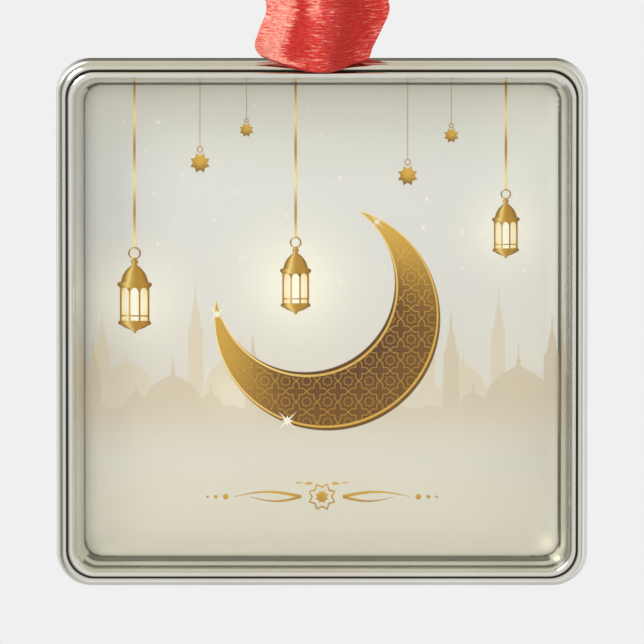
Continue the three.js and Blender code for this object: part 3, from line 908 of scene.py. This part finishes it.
def draw_hanging_star(drawing, x, z, radius):
    draw_string(drawing, x, z + radius * 1.55, 0.07, lambda px, pz: mix(GOLD, TAN, 0.45))
    drawing.line(ring_path(x, z + radius * 1.28, radius * 0.27, 16), 0.09, lambda px, pz: GOLD)
    outline = star_outline((x, z), radius, 8, EIGHT_POINT_NOTCH * 0.86, math.pi / 8)
    middle = drawing.add(x, z, GOLD_BRIGHT)
    rim = []
    for k, (px, pz) in enumerate(outline):
        light = 0.5 + 0.5 * math.sin(math.pi * k / 8 + 0.6)
        rim.append(drawing.add(px, pz, mix(GOLD_DEEP, GOLD_BRIGHT, light)))
    drawing.fan(middle, rim)


BELOW_ALL = -99.0  # height where a building isn't
TOWN_COVER = 0.6


def pointed_dome(x, centre, half, rise):
    """Onion dome with a thin finial on its tip."""
    share = abs(x - centre) / half
    if share > 1.08:
        return BELOW_ALL
    if abs(x - centre) < 0.07:
        return rise * 1.62
    if abs(x - centre) < 0.2:
        return rise * 1.22
    return rise * (max(1 - share ** 2.2, 0.0) ** 0.62 * 0.95 + 0.12 * max(0.0, 1 - share * 3))


def minaret(x, centre, half, height):
    """Slender tower with two galleries and a pointed cap."""
    far = abs(x - centre)
    cap = height * 0.8
    if far < half * 0.16:
        return height * 1.1
    if far < half * 0.8:
        return max(cap, height - (height - cap) * far / (half * 0.8))
    if far < half * 1.05:
        return height * 0.74
    if far < half * 1.45:
        return height * 0.7 if int(far * 40) % 2 == 0 else height * 0.69
    return BELOW_ALL


# Buildings: kind, middle, half width, height and base
FAR_TOWN = [
    (pointed_dome, -21.5, 3.0, 3.0, -7.6),
    (pointed_dome, -9.0, 3.8, 3.8, -7.2),
    (pointed_dome, 15.5, 2.4, 2.6, -7.4),
    (minaret, -24.2, 0.55, 9.0, -9.0),
    (minaret, -13.9, 0.6, 12.2, -9.0),
    (minaret, 11.6, 0.55, 10.4, -9.0),
    (minaret, 19.4, 0.55, 11.6, -9.0),
]
NEAR_TOWN = [
    (pointed_dome, -16.4, 3.4, 3.6, -9.6),
    (pointed_dome, -20.4, 1.3, 1.5, -9.4),
    (pointed_dome, -12.2, 1.3, 1.5, -9.4),
    (pointed_dome, 21.6, 3.9, 4.3, -9.4),
    (pointed_dome, 16.6, 1.6, 1.8, -9.6),
    (minaret, -25.2, 0.6, 8.0, -11.0),
    (minaret, -7.6, 0.6, 8.6, -11.0),
    (minaret, 14.2, 0.62, 11.0, -11.0),
    (minaret, 25.3, 0.6, 10.6, -11.0),
]


def draw_town(name, shapes, wall, foot, colour, lift, material):
    """Skyline over an uneven wall, that fades out down to its foot."""
    drawing = Drawing(name, lift, material)
    columns = []
    steps, levels = 700, 6
    reach = WINDOW + 0.25
    for k in range(steps + 1):
        x = reach * (2 * k / steps - 1)
        tops = [base + kind(x, centre, half, height) for kind, centre, half, height, base in shapes]
        top = max(wall + 0.25 * math.sin(x * 1.7), *tops)
        heights = [mix(top, foot, m / levels) for m in range(levels + 1)]
        columns.append([(x, z, mix(ground_ink(x, z), colour, TOWN_COVER * smooth(foot, wall + 2.0, z)))
                        for z in heights])
    drawing.rows(columns)
    drawing.build()


def draw_band(material):
    """Small ornament under the crescent: a star between tapering strokes and beads."""
    drawing = Drawing("print_band", 0.018, material)
    z = -19.4

    def gold(px, pz):
        return mix(GOLD, GOLD_BRIGHT, smooth(-1.4, 1.4, pz - z + 0.25 * math.sin(px)))

    outline = star_outline((0, z), 1.5, 8, 0.72, math.pi / 8)
    drawing.line(outline + outline[:2], 0.2, gold)
    drawing.polygon(star_outline((0, z), 0.75, 8, 0.7, math.pi / 8), gold)
    shares = [k / 20 for k in range(21)]
    for side in (-1, 1):
        for length, rise, width in ((7.4, 0.55, 0.34), (5.6, -0.5, 0.26)):
            stroke = [(side * (2.3 + length * t), z + rise * math.sin(math.pi * t)) for t in shares]
            drawing.line(stroke, [width * (1 - t) + 0.05 for t in shares], gold)
        for reach, radius in ((10.6, 0.32), (11.7, 0.22), (12.6, 0.15)):
            drawing.polygon(star_outline((side * reach, z), radius, 6, 0.95), gold)
        leaf = []
        for k in range(16):
            a = 2 * math.pi * k / 16
            leaf.append((side * (2.0 + 0.9 * math.sin(a)), z + 1.5 + 0.35 * math.cos(a) * math.sin(a)))
        drawing.polygon(leaf, gold)
    drawing.build()


def draw_sparkles(material):
    """Faint pale specks scattered over the ground."""
    drawing = Drawing("print_sparkles", 0.006, material)
    dice = random.Random(7)
    for _ in range(46):
        x = dice.uniform(-24, 24)
        z = dice.uniform(4, 25)
        radius = dice.choice((0.16, 0.22, 0.3))
        glow = mix(ground_ink(x, z), LIGHT, dice.uniform(0.4, 0.9))
        middle = drawing.add(x, z, glow)
        outline = [on_circle((x, z), radius, math.pi * k / 5) for k in range(10)]
        drawing.fan(middle, [drawing.add(px, pz, ground_ink(px, pz)) for px, pz in outline])
    drawing.build()


def draw_glints(material):
    """Small bright stars of light on the crescent's rim."""
    drawing = Drawing("print_glints", 0.034, material)
    for share, edge, size in ((0.035, 0.5, 1.2), (0.3, 0.05, 1.5), (0.95, 0.5, 1.0)):
        centre = mix(*crescent_edges(share), edge)
        drawing.polygon(star_outline(centre, size, 4, 0.09, math.pi / 4), lambda x, z: LIGHT)
        drawing.polygon(star_outline(centre, size * 0.4, 8, 0.5), lambda x, z: LIGHT)
    drawing.build()


def draw_picture():
    ink = printed_paper("gold_ink", 0.4)
    pale_ink = printed_paper("pale_ink", 0.55)
    draw_town("print_far_town", FAR_TOWN, -7.4, -14.5, TAN_FAR, 0.004, pale_ink)
    draw_town("print_near_town", NEAR_TOWN, -9.4, -15.5, TAN, 0.008, pale_ink)
    draw_sparkles(pale_ink)
    draw_crescent(ink)
    lanterns = Drawing("print_lanterns", 0.03, ink)
    lights = Drawing("print_lantern_lights", 0.022, ink)
    for x, top, size in (LEFT_LANTERN, RIGHT_LANTERN, MIDDLE_LANTERN):
        draw_lantern(lanterns, lights, x, top, size)
    for x, z, radius in ((-13.4, 17.6, 1.15), (-8.3, 21.2, 0.8), (9.4, 16.2, 1.15), (14.2, 20.6, 0.85)):
        draw_hanging_star(lanterns, x, z, radius)
    lanterns.build()
    lights.build()
    draw_band(ink)
    draw_glints(pale_ink)


# Ribbon

def along(values, t):
    """Smooth value through a list of numbers, t from 0 to 1."""
    last = len(values) - 1
    place_on = min(t * last, last - 1e-9)
    i = int(place_on)
    f = place_on - i
    a, b, c, d = (values[min(max(i + k, 0), last)] for k in (-1, 0, 1, 2))
    return b + 0.5 * f * (c - a + f * (2 * a - 5 * b + 4 * c - d + f * (3 * (b - c) + d - a)))


def across(triple, u):
    """Value across the ribbon, from its left edge over its ridge to its right edge."""
    edge = triple[0] if u < RIDGE else triple[2]
    share = (RIDGE - u) / (1 + RIDGE) if u < RIDGE else (u - RIDGE) / (1 - RIDGE)
    return triple[1] + (edge - triple[1]) * share ** 1.3


def ribbon_stations():
    """Places on the ribbon round the pivot, from the knot down the front, through the wire loop and up.

    Each is both edges in x, then left edge, ridge and right edge in y and in z, then the depths of the fine
    gathers and of the broad folds.
    """
    def on_fold(depths):
        return [math.sqrt(STRANDS_MEET_FOLD ** 2 - y ** 2) for y in depths]

    top = LOOP_TO_HANG + 0.15
    meet_depths = (4.6, 5.4, 4.7)
    front = [
        ((-4.2, 3.6), (2.1, 2.4, 2.1), (-1.1, -1.6, -1.2), 0.7, 0.0),
        ((-6.2, 4.9), (3.7, 4.6, 3.6), (-2.4, -4.1, -2.8), 0.1, 0.05),
        ((-7.35, 5.6), (4.2, 5.1, 4.0), (-1.2, -2.1, -1.3), 0.2, 0.3),
        ((-6.85, 6.6), (4.4, 5.6, 4.5), (0.8, 0.5, 0.8), 0.15, 0.35),
        ((-6.1, 7.4), (4.5, 5.6, 4.6), (2.9, 2.5, 2.9), 0.2, 0.35),
        ((-6.4, 7.2), meet_depths, on_fold(meet_depths), 0.15, 0.35),
    ]
    back = [
        ((-3.8, 3.8), (2.1, 2.4, 2.1), (-0.9, -1.3, -0.9), 0.7, 0.0),
        ((-5.2, 5.2), (3.3, 3.9, 3.2), (-1.7, -2.6, -1.6), 0.15, 0.1),
        ((-5.7, 6.1), (4.1, 4.8, 4.1), (-0.4, -1.0, -0.4), 0.2, 0.3),
        ((-5.9, 6.5), (4.5, 5.3, 4.5), (1.3, 1.1, 1.3), 0.15, 0.35),
        ((-5.9, 6.6), meet_depths, on_fold(meet_depths), 0.15, 0.35),
    ]
    strand = [
        ((-7.2, 7.3), (5.7, 6.6, 5.7), (18, 18, 18), 0.1, 0.4),
        ((-7.3, 7.2), (5.0, 5.8, 5.0), (38, 38, 38), 0.12, 0.4),
        ((-5.2, 5.2), (3.2, 3.6, 3.2), (54, 54, 54), 0.4, 0.2),
        ((-2.9, 2.9), (1.7, 1.7, 1.7), (top + 0.9, top, top + 0.9), 0.8, 0.0),
        ((-2.2, 2.2), (1.2, 1.2, 1.2), (top + 3, top + 3, top + 3), 0.5, 0.0),
    ]
    ring = [((-2.5, 2.5), (0, 0, 0), (0, 0, 0), 0.9, 0.0)]

    def facing(stations, sign):
        return [(x, tuple(sign * v for v in y), z, pleat, wave) for x, y, z, pleat, wave in stations]

    return facing((front + strand)[::-1], -1) + ring + facing(back + strand, 1)


def ribbon_point(stations, u, t):
    x = along([s[0][0] * -u if u < 0 else s[0][1] * u for s in stations], t)
    y = along([across(s[1], u) for s in stations], t)
    z = along([across(s[2], u) for s in stations], t)
    return Vector((x, y, z))


def mark_cloth(piece, cloth, shine, shade):
    """Gives each corner of a piece its place on the cloth, its painted highlight and its painted shade."""
    layer = piece.data.uv_layers.new(name="cloth")
    for loop in piece.data.loops:
        layer.data[loop.index].uv = cloth[loop.vertex_index]
    for attribute, values in (("shine", shine), ("shade", shade)):
        piece.data.attributes.new(attribute, "FLOAT", "POINT").data.foreach_set("value", values)


def ribbon_sheet(name, surface, across_steps, along_steps, material, painted_gleam=lambda u, point: 0.0):
    """Closed thin sheet round a surface of u across and t along, with its cloth coordinates.

    Its last argument gives extra painted light at a place on it, or painted shade where it is below 0.
    """
    shares = [2 * i / across_steps - 1 for i in range(across_steps + 1)]
    rows = [[surface(u, j / along_steps) for u in shares] for j in range(along_steps + 1)]
    middle = across_steps // 2
    runs = [0.0]
    for before, after in zip(rows, rows[1:]):
        runs.append(runs[-1] + (after[middle][0] - before[middle][0]).length)
    corners, shine, shade, cloth = [], [], [], []
    half = RIBBON_THICKNESS / 2
    for run, row in zip(runs, rows):
        there = list(zip(shares, row))
        for sign, way in ((1, there), (-1, there[::-1])):
            for u, (point, normal) in way:
                corners.append((point + normal * half * sign) * MM)
                # painted highlight and painted shade, with painted shade where the sheet faces down
                extra = painted_gleam(u, point)
                shine.append(level_at(SHINE, u + 0.05 * math.sin(run * 0.55)) + extra)
                shade.append(max(level_at(SHADE, u), smooth(0.35, 0.9, -sign * normal.z), -0.7 * extra))
                cloth.append((u * RIBBON_FLAT / 2 * MM, run * MM))
    size = 2 * (across_steps + 1)
    faces = strip_faces(along_steps + 1, size, False)
    for start, flip in ((0, False), (along_steps * size, True)):
        for i in range(across_steps):
            quad = (start + i, start + i + 1, start + size - 2 - i, start + size - 1 - i)
            faces.append(quad if flip else tuple(reversed(quad)))
    piece = make_piece(name, corners, turned_out(corners, faces), material, 60)
    mark_cloth(piece, cloth, shine, shade)
    return piece, runs[-1] * MM


def make_ribbon_loop(material):
    stations = ribbon_stations()

    def surface(u, t):
        step = 1e-3
        run = ribbon_point(stations, u, min(t + step, 1)) - ribbon_point(stations, u, max(t - step, 0))
        run.x = 0
        run.normalize()
        normal = Vector((0, -run.z, run.y))
        pleat = along([s[3] for s in stations], t) * math.cos(math.pi * (2.5 * u + 0.25))
        wave = along([s[4] for s in stations], t) * math.cos(math.pi * (u + 0.35) / 0.65)
        middle = ribbon_point(stations, u, t)
        ruffle = 0.1 * noise.noise(Vector((u * 3.5, middle.z * 0.25, middle.y)))
        point = middle + normal * (pleat + wave + ruffle)
        return point + Vector((0, 0, -LOOP_TO_HANG)), normal

    fold_height = min(stations, key=lambda station: station[2][1])[2]

    def painted_gleam(u, point):
        # painted highlights where the front turns under and on the crumpled top, and a painted dark line
        # along the fold's lowest edge
        height = point.z + LOOP_TO_HANG
        turn = (1 - smooth(-3.2, -2.0, height)) * (1 - smooth(-0.5, -0.15, u))
        crumple_highlight = smooth(1.5, 2.5, height) * (1 - smooth(5, 6, height))
        crumple_highlight *= 1 - smooth(0.0, 0.24, abs(u + 0.18))
        under_fold_shade = 1 - smooth(0.14, 0.32, height - across(fold_height, u))
        under_fold_shade *= max(1 - smooth(-0.3, 0.0, u), smooth(0.25, 0.5, u))
        return mix(0.75 * turn + 0.5 * crumple_highlight, -2.0, under_fold_shade)

    piece, length = ribbon_sheet("ribbon_loop", surface, 56, 300, material, painted_gleam)
    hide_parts("ribbon_fold", "ribbon_front_strand", "ribbon_back_strand")
    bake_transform(piece)
    return piece, length


def make_knot(material):
    """Overhand knot: the gathered ribbon bulging out, with turns laid slantwise over it."""
    rings, cloth, shine, shade = [], [], [], []
    around_steps, level_steps = 96, 48
    for k in range(1, level_steps):
        polar = math.pi * k / level_steps
        level = math.sin(polar)
        rings.append([])
        for i in range(around_steps):
            angle = 2 * math.pi * i / around_steps
            normal = Vector((level * math.cos(angle), level * math.sin(angle), math.cos(polar)))
            turns = 0.07 * level * math.cos(4 * normal.z + angle) + 0.04 * level * math.cos(3 * angle)
            gathers = 0.02 * level * math.cos(16 * angle + 3 * normal.z)
            swell = 1 + turns + gathers - 0.07 * level
            point = Vector(tuple(r * v for r, v in zip(KNOT_RADII, normal))) * swell
            rings[-1].append((point + Vector((0, 0, KNOT_CENTRE))) * MM)
            cloth.append((angle * 4 * MM, normal.z * 4 * MM))
            # painted highlight and painted shade in slanted bands across the knot
            painted_fold_light = math.sin(3 * angle + 4 * normal.z)
            shine.append(0.25 + 0.35 * painted_fold_light)
            shade.append(0.4 - 0.4 * painted_fold_light)
    ends = [Vector((0, 0, (KNOT_CENTRE + up * KNOT_RADII[2]) * MM)) for up in (1, -1)]
    cloth += [(0, 0), (0, 0)]
    shine += [0, 0]
    shade += [0.5, 0.5]
    piece = make_piece("ribbon_knot_body", *closed_form(rings, ends), material, 80)
    mark_cloth(piece, cloth, shine, shade)
    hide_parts("ribbon_knot")
    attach(piece, "ribbon")
    return piece


def make_tail(side, material):
    def surface(u, t):
        half = 1.8 + 5.6 * math.sin(math.pi / 2 * t)
        run = (TAIL_LENGTH + TAIL_ROOT) * t - TAIL_ROOT + 2.5 * u * t * t
        bend = 1.4 * math.sin(math.pi * t) + 0.5 * math.cos(2 * math.pi * u) * (1 - 0.6 * t)
        cos, sin = math.cos(TAIL_TILT), math.sin(TAIL_TILT)
        x = side * (TAIL_FOOT + run * sin + half * u * cos)
        z = KNOT_CENTRE + KNOT_RADII[2] - KNOT_DIP + run * cos - half * u * sin
        return Vector((x, side * (0.6 + bend), z)), Vector((0, 1, 0))

    name = "left" if side < 0 else "right"
    piece, _ = ribbon_sheet(f"ribbon_end_{name}", surface, 30, 44, material)
    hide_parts(f"ribbon_tail_{name}")
    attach(piece, "ribbon")
    return piece


# Studio

FLOOR_RADIUS = 0.3
FLOOR_DROP = 0.045


def make_floor():
    count = 64
    edge = [on_circle((0, 0), FLOOR_RADIUS, 2 * math.pi * k / count) for k in range(count)]
    corners = [(x, y, 0) for x, y in [(0, 0), *edge]]
    faces = [(0, 1 + k, 1 + (k + 1) % count) for k in range(count)]
    floor = make_piece("studio_floor", corners, faces, floor_surface())
    floor.location = (0, 0, cad_low.z - FLOOR_DROP)
    floor.visible_glossy = False


AMBIENT = 0.55
# Tones that polished metal sees, by angle: from the camera's side (0) over square to it (90) to behind (180)
SEEN_TONES = {
    "left": [(0, 0.86), (16, 0.78), (28, 0.8), (40, 0.8), (50, 0.68), (58, 0.46), (65, 0.26), (76, 0.2),
             (86, 0.24), (96, 0.36), (106, 0.52), (126, 0.66), (145, 0.84), (165, 0.92)],
    "right": [(0, 0.86), (15, 0.8), (30, 0.8), (42, 0.78), (52, 0.7), (62, 0.56), (68, 0.32), (74, 0.5),
              (80, 0.88), (88, 1.02), (106, 0.98), (116, 0.86), (127, 0.78), (150, 0.72), (163, 0.86)],
    "above": [(0, 0.86), (12, 0.78), (25, 0.77), (40, 0.8), (50, 0.72), (62, 0.67), (86, 0.67), (118, 0.7),
              (137, 0.69), (150, 0.64), (156, 0.2), (180, 0.14)],
    "below": [(0, 0.94), (7, 0.95), (14, 0.66), (24, 0.7), (34, 0.78), (47, 0.86), (58, 0.9), (68, 0.88),
              (78, 0.78), (90, 0.68), (112, 0.6), (134, 0.64), (155, 0.8)],
}
SIDE_AXES = {"left": (0, -1), "right": (0, 1), "above": (2, 1), "below": (2, -1)}
WINDOW_TOWARDS = Vector((-0.6, 0.5, 0.62)).normalized()


def seen_by_metal(n):
    """Soft surroundings with darker bands, and a bright window to the upper left."""
    towards = n.add("TexCoord").outputs["Generated"]
    axes = n.add("SeparateXYZ", {0: towards}).outputs
    share = n.math("DIVIDE", n.math("ARCCOSINE", n.math("MULTIPLY", axes[1], -1.0)), math.pi)
    off_axis = n.math("MAXIMUM", n.math("SUBTRACT", 1.0, n.math("MULTIPLY", axes[1], axes[1])), 1e-4)
    colour = (0, 0, 0, 1)
    for side, tones in SEEN_TONES.items():
        axis, sign = SIDE_AXES[side]
        part = n.math("MAXIMUM", n.math("MULTIPLY", axes[axis], float(sign)), 0.0)
        weight = n.math("DIVIDE", n.math("MULTIPLY", part, part), off_axis)
        warm = (0.94, 0.79) if side == "above" else (0.985, 0.94)
        stops = [(angle / 180, (tone, tone * warm[0], tone * warm[1], 1)) for angle, tone in tones]
        colour = n.mix_colour(weight, colour, n.ramp(share, stops), "ADD")
    dot = n.add("VectorMath", {0: towards, 1: WINDOW_TOWARDS}, operation="DOT_PRODUCT").outputs["Value"]
    return n.mix_colour(n.contrast(dot, 0.84, 0.88), colour, (1.25, 1.25, 1.25, 1))


def make_world():
    """Pale background for the camera and through film, soft surroundings for metal, else even light."""
    n = Nodes("studio", "worlds", "OutputWorld")
    rays = n.add("LightPath").outputs
    lit = n.add("Background", {0: (1, 1, 1, 1), 1: AMBIENT}).outputs[0]
    mirrored = n.add("Background", {0: seen_by_metal(n)}).outputs[0]
    plain = n.add("Background", {0: (*BACKGROUND, 1)}).outputs[0]
    shader = n.add("MixShader", {0: rays["Is Glossy Ray"], 1: lit, 2: mirrored}).outputs[0]
    straight = n.math("MAXIMUM", rays["Is Camera Ray"], rays["Is Transmission Ray"])
    bpy.context.scene.world = n.finish("MixShader", {0: straight, 1: shader, 2: plain})


def make_lamp(name, direction, distance, size, power, glint=False):
    """Round soft light that faces the ornament. A glint is only mirrored, and lights nothing."""
    light = bpy.data.lights.new(name, "AREA")
    light.shape = "DISK"
    light.size = size
    light.energy = power
    lamp = bpy.data.objects.new(name, light)
    towards = Vector(direction).normalized()
    lamp.location = Vector((0, 0, MIDDLE_Z)) + towards * distance
    lamp.rotation_mode = "QUATERNION"
    lamp.rotation_quaternion = towards.to_track_quat("Z", "Y")
    lamp.visible_glossy = glint
    lamp.visible_diffuse = not glint
    bpy.context.scene.collection.objects.link(lamp)


def make_camera():
    camera = bpy.data.cameras.new("camera")
    camera.sensor_width = 36
    camera.lens = 36 * CAMERA_DISTANCE / PICTURE_WIDTH
    camera.clip_start = 0.01
    camera.clip_end = 20
    holder = bpy.data.objects.new("camera", camera)
    back = Vector((0, -math.cos(CAMERA_ELEVATION), math.sin(CAMERA_ELEVATION)))
    target = place(0, 0, CAMERA_AIM)
    holder.location = target + back * CAMERA_DISTANCE * MM
    holder.rotation_mode = "QUATERNION"
    holder.rotation_quaternion = back.to_track_quat("Z", "Y")
    bpy.context.scene.collection.objects.link(holder)
    bpy.context.scene.camera = holder


def make_studio():
    make_world()
    make_floor()
    make_lamp("key_light", (-0.70, -0.22, 0.64), 0.9, 0.35, 4.4)
    make_lamp("front_light", (-0.1, -1.0, 0.0), 1.0, 0.5, 3.3)
    make_lamp("glint_light", (-0.49, -0.72, 0.49), 0.9, 0.36, 5.8, glint=True)
    make_lamp("back_light", (0.4, 1.0, 0.6), 1.0, 0.6, 3.0)


def make_ornament():
    metal = plated_metal()
    steel = brushed_steel()
    make_frame(metal)
    make_loop(metal)
    for node in ("back_plate", "dome_shell", "crimp_ring"):
        mesh = frame["nodes"][node].data
        mesh.materials.clear()
        mesh.materials.append(steel)
    ground = printed_paper("printed_ground", 0.55)
    sheet = dome_layer("print_sheet", "printed_insert", PRINT_BELOW, PRINT_THICKNESS,
                       PRINT_SKIRT, ground, straight=42)
    paint(sheet, [ground_ink(v.co.x / MM, (v.co.z - MIDDLE_Z) / MM) for v in sheet.data.vertices])
    dome_layer("film", "clear_cover", 0, COVER_THICKNESS, COVER_SKIRT, clear_film())
    draw_picture()


def make_ribbon():
    cloth = satin()
    loop, length = make_ribbon_loop(cloth)
    knot = make_knot(cloth)
    tails = [make_tail(side, cloth) for side in (-1, 1)]


bpy.context.scene.view_settings.view_transform = "Standard"
make_camera()
make_studio()
make_ornament()
make_ribbon()

bpy.context.view_layer.update()
